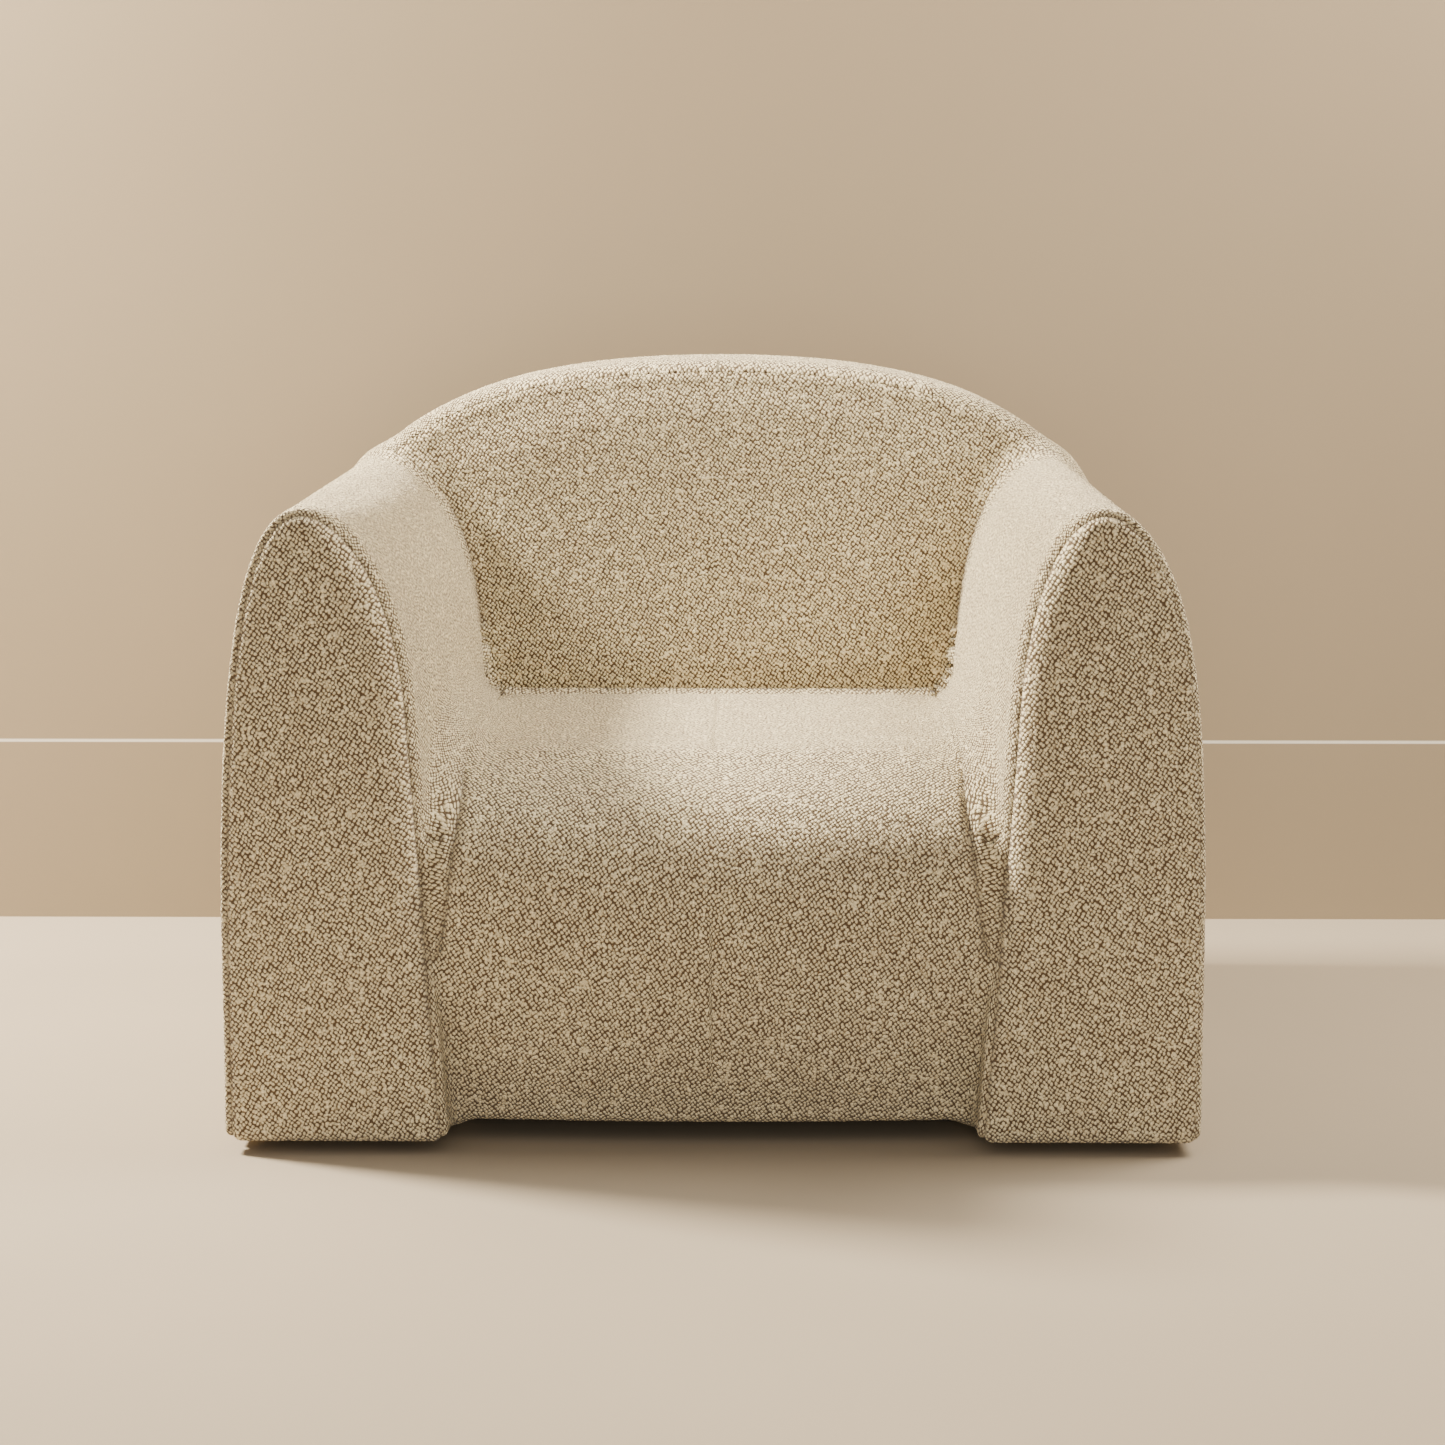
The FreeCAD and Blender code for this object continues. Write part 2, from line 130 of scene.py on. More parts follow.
# ---- where the panels end
LONG_SEAM_HEIGHTS = (0.190, 0.205, 0.275, 0.350, 0.420)
LONG_SEAM_PLACES = (0.300, 0.278, 0.268, 0.258, 0.256)  # from the middle, at each height
REAR_TURN = 0.014  # how far round its edge the outer back may reach
FACE_REACH = 0.05  # how far behind the face the inner back may
SEAT_REACH = 0.02
COVER_REACH = 0.03  # how far off the arm its cover may

# ---- stage
SKIRTING_HEIGHT = 0.248
STAGE_REACH = 30.0
WALL_HEIGHT = 5.0

# ---- colours
PALE_YARN = (0.90, 0.80, 0.54, 1.0)
DULL_YARN = (0.50, 0.37, 0.24, 1.0)
# Colour of the painted shadow that darkens the fabric along each seam's groove.
SEAM_SHADOW = (0.10, 0.065, 0.04, 1.0)
STEEL = (0.52, 0.51, 0.49, 1.0)
NYLON = (0.045, 0.040, 0.036, 1.0)
SKIRTING_LINE = (0.85, 0.80, 0.72, 1.0)
KEY_LIGHT = (1.0, 0.92, 0.75)
SIDE_LIGHT = (1.0, 0.92, 0.77)
FILL_LIGHT = (1.0, 0.93, 0.80)
SURROUND = (1.0, 0.93, 0.84, 1.0)


class ArmchairForm(PropertyGroup):
    edge_radius: FloatProperty(
        name="Front edge", description="Radius round the front of each arm",
        default=0.013, min=0.004, max=0.03, subtype="DISTANCE", unit="LENGTH")
    inner_edge_radius: FloatProperty(
        name="Inner front edge", description="Radius round the front of each arm on the sitter's side",
        default=0.040, min=0.004, max=0.06, subtype="DISTANCE", unit="LENGTH")
    rim_radius: FloatProperty(
        name="Rim", description="Radius round the front of the back's rim",
        default=0.028, min=0.01, max=0.06, subtype="DISTANCE", unit="LENGTH")
    hollow_radius: FloatProperty(
        name="Seat hollow", description="Radius of the hollow where the seat meets an arm",
        default=0.085, min=0.02, max=0.12, subtype="DISTANCE", unit="LENGTH")
    tip_lean: FloatProperty(
        name="Right tip", description="How far the right arm's ridge sits inwards of the left one's",
        default=0.016, min=0.0, max=0.03, subtype="DISTANCE", unit="LENGTH")
    swell: FloatProperty(
        name="Padding swell", description="Most that the padding may rise between its seams",
        default=0.006, min=0.0, max=0.016, subtype="DISTANCE", unit="LENGTH")
    seam_depth: FloatProperty(
        name="Seam depth", description="How far a seam pulls the fabric in",
        default=0.0040, min=0.0, max=0.008, subtype="DISTANCE", unit="LENGTH")
    seam_width: FloatProperty(
        name="Seam width", description="How far from a seam the fabric dips",
        default=0.0050, min=0.002, max=0.02, subtype="DISTANCE", unit="LENGTH")
    knots: FloatProperty(
        name="Knots", description="How far the yarn's knots stand out of the surface",
        default=0.0003, min=0.0, max=0.003, subtype="DISTANCE", unit="LENGTH")
    cell: FloatProperty(
        name="Padding cell", description="Cell of the padding's mesh before it is divided",
        default=0.014, min=0.010, max=0.03, subtype="DISTANCE", unit="LENGTH")


class ArmchairFinish(PropertyGroup):
    yarn: FloatVectorProperty(
        name="Yarn", description="Colour of the boucle's loops", subtype="COLOR",
        size=4, default=(0.79, 0.66, 0.41, 1.0), min=0.0, max=1.0)
    # The gap colour is painted shade: it stands for the shade that falls in the hollows between the
    # loops.
    gap_shade: FloatVectorProperty(
        name="Gaps", description="Colour between the boucle's loops", subtype="COLOR",
        size=4, default=(0.085, 0.052, 0.026, 1.0), min=0.0, max=1.0)
    loop: FloatProperty(
        name="Loop", description="Distance from one loop of the boucle to the next",
        default=0.0036, min=0.002, max=0.02, subtype="DISTANCE", unit="LENGTH")
    beech: FloatVectorProperty(
        name="Beech", description="Colour of the solid wood", subtype="COLOR",
        size=4, default=(0.55, 0.34, 0.18, 1.0), min=0.0, max=1.0)
    plywood: FloatVectorProperty(
        name="Plywood", description="Colour of the plywood's faces", subtype="COLOR",
        size=4, default=(0.60, 0.42, 0.25, 1.0), min=0.0, max=1.0)
    webbing: FloatVectorProperty(
        name="Webbing", description="Colour of the elastic webbing", subtype="COLOR",
        size=4, default=(0.20, 0.15, 0.10, 1.0), min=0.0, max=1.0)
    lining: FloatVectorProperty(
        name="Lining", description="Colour of the dust cover", subtype="COLOR",
        size=4, default=(0.035, 0.033, 0.03, 1.0), min=0.0, max=1.0)


class ArmchairStage(PropertyGroup):
    wall_distance: FloatProperty(
        name="Wall", description="How far behind the origin the wall stands",
        default=0.716, min=0.5, max=5.0, subtype="DISTANCE", unit="LENGTH")
    wall_colour: FloatVectorProperty(
        name="Wall colour", description="Colour of the backdrop's wall", subtype="COLOR",
        size=4, default=(0.305, 0.240, 0.165, 1.0), min=0.0, max=1.0)
    floor_colour: FloatVectorProperty(
        name="Floor colour", description="Colour of the floor", subtype="COLOR",
        size=4, default=(0.295, 0.245, 0.185, 1.0), min=0.0, max=1.0)
    key_power: FloatProperty(
        name="Key light", description="Power of the small light above and to the left",
        default=500.0, min=0.0, max=1000.0, unit="POWER")
    side_power: FloatProperty(
        name="Side light", description="Power of the light above and to the right",
        default=170.0, min=0.0, max=1000.0, unit="POWER")
    fill_power: FloatProperty(
        name="Fill light", description="Power of the low light in front",
        default=72.0, min=0.0, max=1000.0, unit="POWER")


# ---- outlines and their depth tables

def bezier(poles, count=48):
    """Cubic curve: the four poles weighted by the Bernstein polynomials of t from 0 to 1."""
    t = np.linspace(0, 1, count)[:, None]
    weights = np.hstack([(1 - t) ** 3, 3 * t * (1 - t) ** 2, 3 * t * t * (1 - t), t ** 3])
    return weights @ np.array(poles, float)


def shoulder(side, top, lean, side_pull, top_pull):
    """Cubic from a side to a level top: it keeps to each end's direction for that end's pull."""
    rise = side_pull * (top[1] - side[1])
    return bezier([side, (side[0] + lean * rise, side[1] + rise),
                   (top[0] + top_pull * (side[0] - top[0]), top[1]), top])


def arm_outline():
    """The right arm's arch seen from the front: outer side, ridge, inner side, open at the floor."""
    lean = INNER_LEAN / (ARM_INNER_SHOULDER - BASE)
    up = shoulder((RIGHT, ARM_OUTER_SHOULDER), (RIDGE, ARM_TOP), 0, 0.94, 0.38)
    down = shoulder((INNER_SHOULDER, ARM_INNER_SHOULDER), (RIDGE, ARM_TOP), lean, 0.74, 0.30)[::-1]
    foot = (INNER_FOOT - lean * (BASE - BELOW), BELOW)
    return np.vstack([(RIGHT, BELOW), up, down[1:], foot])


def bell_outline():
    """The back's bell seen from the front, symmetrical about the middle."""
    right = shoulder((RIGHT, BACK_SHOULDER), (0, TOP), 0, 0.64, 0.98)
    left = (right * (-1, 1))[::-1]
    return np.vstack([(RIGHT, BELOW), right, left[1:], (LEFT, BELOW)])


def seat_outline():
    """The seat seen from the side, as (y, z): level top, rolled front, toe drawn in under it."""
    roll = bezier([(FRONT + 0.185, SEAT_TOP), (FRONT + 0.070, SEAT_TOP),
                   (FRONT, 0.345), (FRONT, 0.270)])
    toe = bezier([(FRONT, 0.270), (FRONT, 0.170), (FRONT + 0.022, 0.090), (FRONT + 0.052, 0.0)])
    return np.vstack([(REAR, SEAT_TOP), roll, toe[1:], (FRONT + 0.075, BELOW), (REAR, BELOW)])


def depth_table(outline, low, high):
    """Signed distance to a closed outline, negative inside, and the length along it, on a grid.

    The distance is the least over the outline's segments; a point is inside where a ray from it
    crosses the outline an odd number of times."""
    a = outline
    b = np.roll(outline, -1, axis=0)
    run = b - a
    size = np.maximum((run ** 2).sum(1), 1e-12)
    lengths = np.sqrt(size)
    start = np.concatenate([[0], np.cumsum(lengths)[:-1]])
    u = np.arange(low[0], high[0] + GRID, GRID)
    v = np.arange(low[1], high[1] + GRID, GRID)
    points = np.stack(np.meshgrid(u, v, indexing="ij"), -1).reshape(-1, 1, 2)
    distance, along = [], []
    for part in np.array_split(points, 24):
        t = np.clip(((part - a) * run).sum(-1) / size, 0, 1)
        gap = np.linalg.norm(part - a - t[..., None] * run, axis=-1)
        nearest = gap.argmin(1)
        rows = np.arange(len(part))
        spans = (a[:, 1] > part[..., 1]) != (b[:, 1] > part[..., 1])
        rise = np.where(abs(run[:, 1]) < 1e-12, 1e-12, run[:, 1])
        right_of = part[..., 0] < a[:, 0] + run[:, 0] * (part[..., 1] - a[:, 1]) / rise
        inside = (spans & right_of).sum(1) % 2 == 1
        distance.append(np.where(inside, -1, 1) * gap[rows, nearest])
        along.append(start[nearest] + t[rows, nearest] * lengths[nearest])
    shape = (len(u), len(v))
    return {"low": low, "distance": np.concatenate(distance).reshape(shape),
            "along": np.concatenate(along).reshape(shape)}


def look_up(table, name, u, v):
    """A grid's value between its nodes, weighted by nearness along both directions."""
    grid = table[name]
    i = np.clip((u - table["low"][0]) / GRID, 0, grid.shape[0] - 1.001)
    j = np.clip((v - table["low"][1]) / GRID, 0, grid.shape[1] - 1.001)
    i0, j0 = i.astype(int), j.astype(int)
    fi, fj = i - i0, j - j0
    near = grid[i0, j0] * (1 - fi) + grid[i0 + 1, j0] * fi
    far = grid[i0, j0 + 1] * (1 - fi) + grid[i0 + 1, j0 + 1] * fi
    return near * (1 - fj) + far * fj


ARM = depth_table(arm_outline(), (0.12, -0.06), (0.58, 0.74))
BELL = depth_table(bell_outline(), (-0.02, -0.06), (0.58, 0.88))
SEAT = depth_table(seat_outline(), (FRONT - 0.06, -0.06), (REAR, 0.55))


# ---- the soft body

def ease(value, low, high):
    """Smooth step: 3t^2 - 2t^3, with t the share of the way from low to high."""
    t = np.clip((value - low) / (high - low), 0, 1)
    return t * t * (3 - 2 * t)


def round_max(a, b, radius):
    """Where both depths hold, with the edge between them rounded to a radius."""
    return (np.minimum(np.maximum(a, b), -radius)
            + np.hypot(np.maximum(a + radius, 0), np.maximum(b + radius, 0)))


def round_min(a, b, radius):
    """Where either depth holds, with the corner between them filled to a radius."""
    return -round_max(-a, -b, radius)


def arm_section(p, form):
    """Where each point would be on the arm's front section, as the way across and the height. The
    inner side moves in and the ridge rises with the distance from the front, and the right ridge
    leans inwards."""
    x, y, z = np.abs(p[:, 0]), p[:, 1], p[:, 2]
    tip = np.where(p[:, 0] > 0, form.tip_lean, -LEFT_TIP_LEAN)
    bump = np.clip(1 - ((x - RIDGE + tip) / BUMP_REACH) ** 2, 0, 1) ** 2
    x = x + tip * bump * ease(z, 0.38, 0.64)
    inwards = RIDGE - x
    run = RIDGE - INNER_SHOULDER
    share = np.clip((y - FRONT) / DEPTH, 0, 1)
    swell = ARM_SWELL * share
    z = z - (RIDGE_RISE * share - RIDGE_DIP) * ease(z, 0.42, 0.64)
    moved = np.where(inwards < run + swell, inwards / (1 + swell / run), inwards - swell)
    return np.where(inwards < 0, x, RIDGE - moved), z


def behind_face(p):
    """Distance behind the back's reclined face, measured square to it."""
    return (p[:, 1] - CREASE - math.tan(RECLINE) * (p[:, 2] - SEAT_TOP)) * math.cos(RECLINE)


def seat_crown(x):
    """How far the seat's profile has drawn back at a distance from the middle."""
    return SEAT_CROWN * (x / SEAT_HALF) ** 2


def members(p, form):
    """Depths of arm outline, bell outline, whole arm, whole back and seat, and the way behind the
    back's face."""
    x, y, z = np.abs(p[:, 0]), p[:, 1], p[:, 2]
    behind = behind_face(p)
    across, height = arm_section(p, form)
    arch = look_up(ARM, "distance", across, height)
    bell = look_up(BELL, "distance", x, z)
    soft = form.inner_edge_radius - form.edge_radius
    edge = form.edge_radius + soft * ease(RIDGE - across, -0.02, 0.05) * ease(z, 0.06, 0.28)
    arm = round_max(arch, FRONT - y, edge)
    arm = round_max(arm, behind - ARM_RUN_ON, ARM_END_RADIUS)
    arm = round_max(arm, BASE - z, ARM_UNDER_RADIUS)
    back = round_max(bell, -behind, form.rim_radius)
    back = round_max(back, y - REAR, BACK_REAR_RADIUS)
    back = round_max(back, BASE - z, BACK_UNDER_RADIUS)
    seat = look_up(SEAT, "distance", y - seat_crown(x), z)
    side = x - (INNER_FOOT + INNER_LEAN * z / ARM_INNER_SHOULDER + 0.004)
    seat = round_max(seat, side, SEAT_SIDE_RADIUS)
    seat = round_max(seat, SEAT_UNDER - z, SEAT_UNDER_RADIUS)
    seat = np.maximum(seat, behind - ARM_RUN_ON)
    return arch, bell, arm, back, seat, behind


def body(p, form):
    """Signed depth of the whole soft body: arm and seat joined by a hollow that is tight at the
    front, opens over the seat and closes again at the back, and both joined to the back."""
    _, _, arm, back, seat, _ = members(p, form)
    x, y, z = np.abs(p[:, 0]), p[:, 1], p[:, 2]
    opening = ease(y, FRONT + 0.02, FRONT + 0.24) * (1 - 0.80 * ease(y, CREASE - 0.24, CREASE - 0.01))
    hollow = VALLEY_RADIUS + (form.hollow_radius - VALLEY_RADIUS) * opening
    low = round_min(arm, seat, hollow)
    corner = CREASE_RADIUS + CREASE_OPENING * ease(z, ARM_INNER_SHOULDER, ARM_TOP - 0.005)
    corner = FLUSH_RADIUS + (corner - FLUSH_RADIUS) * ease(RIDGE + 0.06 - x, 0.0, 0.05)
    return round_min(low, back, corner)


def panel_levels(p, form):
    """One level a kind of panel, positive inside it. A point belongs to the first that holds it.

    Arm front: inside the arch by the seam allowance, near the front. Outer back: the same inside
    the bell at the rear. Inner back: nearer the back than an arm or the seat. Seat: between the
    two long seams, which draw together at the hips and run out to the arm's corner below.
    Arm cover: in front of the back's face. A limit that is no seam is made much steeper than a
    seam, so that the least level is a seam's almost everywhere."""
    arch, bell, arm, back, seat, behind = members(p, form)
    x, y, z = np.abs(p[:, 0]), p[:, 1], p[:, 2]
    long_seam = np.interp(z, LONG_SEAM_HEIGHTS, LONG_SEAM_PLACES)
    arm_front = np.minimum(-arch - ARM_FRONT_SEAM, LIMIT * (FRONT + HEM - y))
    outer_back = np.minimum(-bell - REAR_SEAM, LIMIT * (y - REAR + REAR_TURN))
    inner_back = np.minimum(np.minimum(-bell - RIM_SEAM, LIMIT * (FACE_REACH - behind)),
                            np.minimum(arm - back, seat - back))
    seat_panel = np.minimum(long_seam - x, LIMIT * (SEAT_REACH - behind))
    arm_cover = np.minimum(-behind, LIMIT * (COVER_REACH - arm))
    return np.stack([arm_front, outer_back, inner_back, seat_panel, arm_cover])


def slope_of(function, p, step=0.0006):
    """Gradient by forward differences along the three axes, with the value itself."""
    value = function(p)
    parts = [(function(p + np.eye(3)[axis] * step) - value) / step for axis in range(3)]
    return value, np.stack(parts, -1)


def settle(p, level, form, steps=4, reach=0.010):
    """Newton steps along the body's gradient until its depth is the level at each point."""
    for _ in range(steps):
        value, slope = slope_of(lambda q: body(q, form), p)
        size = np.maximum((slope ** 2).sum(-1), 0.25)
        move = np.clip((value - level) / np.sqrt(size), -reach, reach)
        p = p - slope * (move / np.sqrt(size))[:, None]
    return p


def unit(vectors):
    """Vectors brought to a length of one."""
    return vectors / np.maximum(np.linalg.norm(vectors, axis=-1, keepdims=True), 1e-12)


def carried(outline, low, high, path_axis):
    """A closed outline carried straight along an axis, from low to high, with an end face at each.

    Low and high may be arrays, one value for each point of the outline, where an end slopes."""
    n = len(outline)
    near = np.insert(outline, path_axis, low, axis=1)
    far = np.insert(outline, path_axis, high, axis=1)
    i = np.arange(n)
    j = (i + 1) % n
    walls = np.stack([i, j, j + n, i + n], -1).tolist()
    return np.vstack([near, far]), walls + [i[::-1].tolist(), (i + n).tolist()]


def mesh_arrays(mesh):
    """Vertex places and quads of a mesh as arrays."""
    co = np.empty(len(mesh.vertices) * 3, np.float32)
    mesh.vertices.foreach_get("co", co)
    corners = np.empty(len(mesh.loops), np.int32)
    mesh.loops.foreach_get("vertex_index", corners)
    return co.reshape(-1, 3).astype(float), corners.reshape(-1, 4)


def link(name, co, faces):
    """A mesh object with these places and faces, in the scene."""
    mesh = bpy.data.meshes.new(name)
    mesh.from_pydata(np.asarray(co).tolist(), [], faces)
    mesh.update()
    made = bpy.data.objects.new(name, mesh)
    bpy.context.scene.collection.objects.link(made)
    return made


def drop(made):
    """Removes an object and its mesh."""
    mesh = made.data
    bpy.data.objects.remove(made)
    bpy.data.meshes.remove(mesh)


def with_modifiers(made):
    """The mesh that an object's modifiers give, as arrays and as it is."""
    evaluated = made.evaluated_get(bpy.context.evaluated_depsgraph_get())
    mesh = bpy.data.meshes.new_from_object(evaluated)
    return mesh_arrays(mesh), mesh


def remeshed(co, faces, cell):
    """One closed skin of square cells round everything that the faces enclose."""
    rough = link("padding_blocks", co, faces)
    skin = rough.modifiers.new("skin", "REMESH")
    skin.mode = "VOXEL"
    skin.voxel_size = cell
    (skin_co, quads), mesh = with_modifiers(rough)
    bpy.data.meshes.remove(mesh)
    drop(rough)
    return skin_co, quads


def edges_of(quads):
    """Each edge once, as a pair of vertices."""
    pairs = np.sort(np.stack([quads, np.roll(quads, -1, axis=1)], -1).reshape(-1, 2), axis=1)
    return np.unique(pairs, axis=0)


def averaged(values, edges, rounds):
    """Each vertex's value moved half way to the mean of its neighbours, as many times as asked."""
    flat = values.reshape(len(values), -1).astype(float)
    count = np.bincount(edges.ravel(), minlength=len(flat))[:, None]
    for _ in range(rounds):
        total = np.stack([np.bincount(edges[:, 0], flat[edges[:, 1], k], len(flat))
                          + np.bincount(edges[:, 1], flat[edges[:, 0], k], len(flat))
                          for k in range(flat.shape[1])], -1)
        flat = 0.5 * flat + 0.5 * total / np.maximum(count, 1)
    return flat.reshape(values.shape)


def seam_distance(p, kind, normal, form):
    """Distance to the nearest seam over the surface: the least level over its slope, taken over
    the panels that come before a point's own kind and over its own."""
    levels, slope = slope_of(lambda q: panel_levels(q, form), p)
    slope = slope - (slope * normal).sum(-1, keepdims=True) * normal
    away = np.abs(levels) / np.maximum(np.linalg.norm(slope, axis=-1), 0.3)
    order = np.arange(len(levels))[:, None]
    return np.where(order <= kind[None, :], away, 1.0).min(0)


def kind_of(p, form):
    """Number of the first panel whose level holds each point; the rim takes what is left."""
    held = panel_levels(p, form) > 0
    return np.where(held.any(0), held.argmax(0), len(held))


def seam_pull(p):
    """How strongly a seam pulls: less round the back's rim and the right arm's outer edge, and
    hardly at all over the seat."""
    x = np.abs(p[:, 0])
    rim = ease(p[:, 2], 0.60, 0.68) * ease(behind_face(p), -0.05, -0.01)
    hips = ease(p[:, 2], 0.355, 0.400) * ease(0.300 - x, 0.0, 0.01) * ease(-behind_face(p), 0.015, 0.03)
    outer_edge = ease(p[:, 0], RIDGE, RIDGE + 0.05) * ease(FRONT + 0.05 - p[:, 1], 0.0, 0.02)
    return 1 - 0.90 * rim - 0.85 * hips - 0.60 * outer_edge


def padding_blocks():
    """The soft body's members before rounding: two arms, the back and the seat."""
    arm = arm_outline()
    arm[:, 1] = np.maximum(arm[:, 1], BASE)
    bell = bell_outline()
    bell[:, 1] = np.maximum(bell[:, 1], BASE)
    profile = seat_outline()
    profile[:, 1] = np.maximum(profile[:, 1], SEAT_UNDER)
    profile[:, 0] = np.minimum(profile[:, 0], REAR - 0.1)
    face = CREASE + math.tan(RECLINE) * (bell[:, 1] - SEAT_TOP)
    half = INNER_FOOT + 0.02
    blocks = [carried(arm, FRONT, CREASE + 0.05, 1), carried(arm * (-1, 1), FRONT, CREASE + 0.05, 1),
              carried(bell, face, REAR, 1), carried(profile, -half, half, 0)]
    places, faces, first = [], [], 0
    for co, sides in blocks:
        places.append(co)
        faces += [[first + k for k in side] for side in sides]
        first += len(co)
    return np.vstack(places), faces


def puffed(co, quads, distance, form):
    """How far the padding rises: the skin is held at its seams while air pressure fills it for
    some frames, and the rise along each normal is kept, up to the swell. It fades towards the
    seams and the stapled hem underneath."""
    edges = edges_of(quads)
    _, slope = slope_of(lambda q: body(q, form), co)
    normal = unit(slope)
    loose = (1 - np.exp(-distance / RISE_FADE)) * ease(co[:, 2], BASE, BASE + HEM_FADE)
    skin = link("padding_skin", co, quads.tolist())
    group = skin.vertex_groups.new(name="sewn")
    held = np.flatnonzero((distance < 0.6 * form.cell) | (co[:, 2] < BASE + 0.012))
    group.add(held.tolist(), 1.0, "REPLACE")
    cloth = skin.modifiers.new("air", "CLOTH")
    cloth.settings.use_pressure = True
    cloth.settings.uniform_pressure_force = 4.0
    cloth.settings.tension_stiffness = 40
    cloth.settings.compression_stiffness = 40
    cloth.settings.bending_stiffness = 4
    cloth.settings.mass = 0.3
    cloth.settings.quality = 4
    cloth.settings.effector_weights.gravity = 0
    cloth.settings.vertex_group_mass = "sewn"
    for number in range(1, AIR_FRAMES + 1):
        bpy.context.scene.frame_set(number)
    (risen, _), mesh = with_modifiers(skin)
    bpy.data.meshes.remove(mesh)
    drop(skin)
    bpy.context.scene.frame_set(1)
    rise = np.clip(((risen - co) * normal).sum(-1), -0.001, form.swell)
    return averaged(rise, edges, 3) * loose


def divided(co, quads, rise):
    """The skin with every cell cut in four, twice, and its rise carried along."""
    coarse = link("padding_divided", co, quads.tolist())
    carried_rise = coarse.data.attributes.new("rise", "FLOAT", "POINT")
    carried_rise.data.foreach_set("value", rise.astype(np.float32))
    cut = coarse.modifiers.new("divide", "SUBSURF")
    cut.levels = cut.render_levels = 2
    (fine, fine_quads), mesh = with_modifiers(coarse)
    fine_rise = np.empty(len(fine), np.float32)
    mesh.attributes["rise"].data.foreach_get("value", fine_rise)
    bpy.data.meshes.remove(mesh)
    drop(coarse)
    return fine, fine_quads, fine_rise.astype(float)


def snapped(p, quads, kinds, level, form):
    """Vertices between two panels moved over the surface onto the seam between them: a step
    against the level's slope, then back to the body's depth, three times."""
    first = np.full(len(p), 99)
    last = np.full(len(p), -1)
    np.minimum.at(first, quads.ravel(), np.repeat(kinds, 4))
    np.maximum.at(last, quads.ravel(), np.repeat(kinds, 4))
    between = np.flatnonzero(first != last)
    which = first[between]
    for _ in range(3):
        q = p[between]
        _, out = slope_of(lambda s: body(s, form), q)
        out = unit(out)
        levels, slope = slope_of(lambda s: panel_levels(s, form), q)
        rows = np.arange(len(q))
        value, slope = levels[which, rows], slope[which, rows]
        slope = slope - (slope * out).sum(-1, keepdims=True) * out
        size = np.maximum((slope ** 2).sum(-1), 0.1)
        move = value / np.sqrt(size)
        move = np.where(np.abs(move) < SNAP_REACH, move, 0.0)
        q = q - slope * (move / np.sqrt(size))[:, None]
        p[between] = settle(q, level[between], form, 1)
    return p


def upholstery(form, made={}):
    """The whole padded skin, worked out once: places, quads, panel of each quad, seam distance."""
    if made:
        return made
    co, faces = padding_blocks()
    co, quads = remeshed(co, faces, form.cell)
    co = settle(co, 0.0, form, 6)
    co, quads = remeshed(co, quads.tolist(), form.cell)
    edges = edges_of(quads)
    for _ in range(2):
        co = settle(averaged(co, edges, 1), 0.0, form, 3)
    _, slope = slope_of(lambda q: body(q, form), co)
    distance = seam_distance(co, kind_of(co, form), unit(slope), form)
    rise = puffed(co, quads, distance, form)
    p, quads, rise = divided(co, quads, rise)
    level = rise - 0.5 * form.swell
    p = settle(p, level, form, 4, 0.006)
    kinds = kind_of(p[quads].mean(1), form)
    p = snapped(p, quads, kinds, level, form)
    vertex_kind = np.full(len(p), -1)
    np.maximum.at(vertex_kind, quads.ravel(), np.repeat(kinds, 4))
    _, slope = slope_of(lambda q: body(q, form), p)
    normal = unit(slope)
    seam = seam_distance(p, vertex_kind, normal, form)
    edges = edges_of(quads)
    chance = np.random.default_rng(7)
    knots = averaged(chance.normal(size=len(p)), edges, 1) * form.knots
    pull = seam_pull(p)
    groove = pull * form.seam_depth * np.exp(-(seam / form.seam_width) ** 2)
    free = 1 - np.exp(-(seam / SHADOW_WIDTH) ** 2)
    p = p + normal * (knots * free - groove)[:, None]
    made.update(co=p, quads=quads, kinds=kinds, seam=seam, normal=normal, pull=pull)
    return made


# ---- panels

def weave_map(p, kind, form):
    """Flat place of each point in its panel, in metres: length along the outline that the fabric
    follows, and the way across it."""
    x, y, z = p[:, 0], p[:, 1], p[:, 2]
    arch, bell, _, _, _, behind = members(p, form)
    if kind == "seat":
        forward = y - seat_crown(x)
        above = look_up(SEAT, "distance", forward, z)
        return x + np.sign(x) * np.maximum(above, 0), look_up(SEAT, "along", forward, z)
    if kind == "arm_cover":
        hanging = 1 - ease(y, FRONT + 0.02, FRONT + 0.10)
        valley = np.maximum(arch, 0)
        along = look_up(ARM, "along", *arm_section(p, form))
        return along + (1 - hanging) * valley, y + np.minimum(arch, 0) + hanging * valley
    if kind == "back_rim":
        rearward = 1 - 2 * ease(y, REAR - 0.08, REAR - 0.04)
        top = look_up(BELL, "along", np.zeros(1), np.array([TOP]))
        return np.sign(x) * (top - look_up(BELL, "along", np.abs(x), z)), behind + bell * rearward
    if kind == "inner_back":
        return x, z / math.cos(RECLINE)
    return x, z


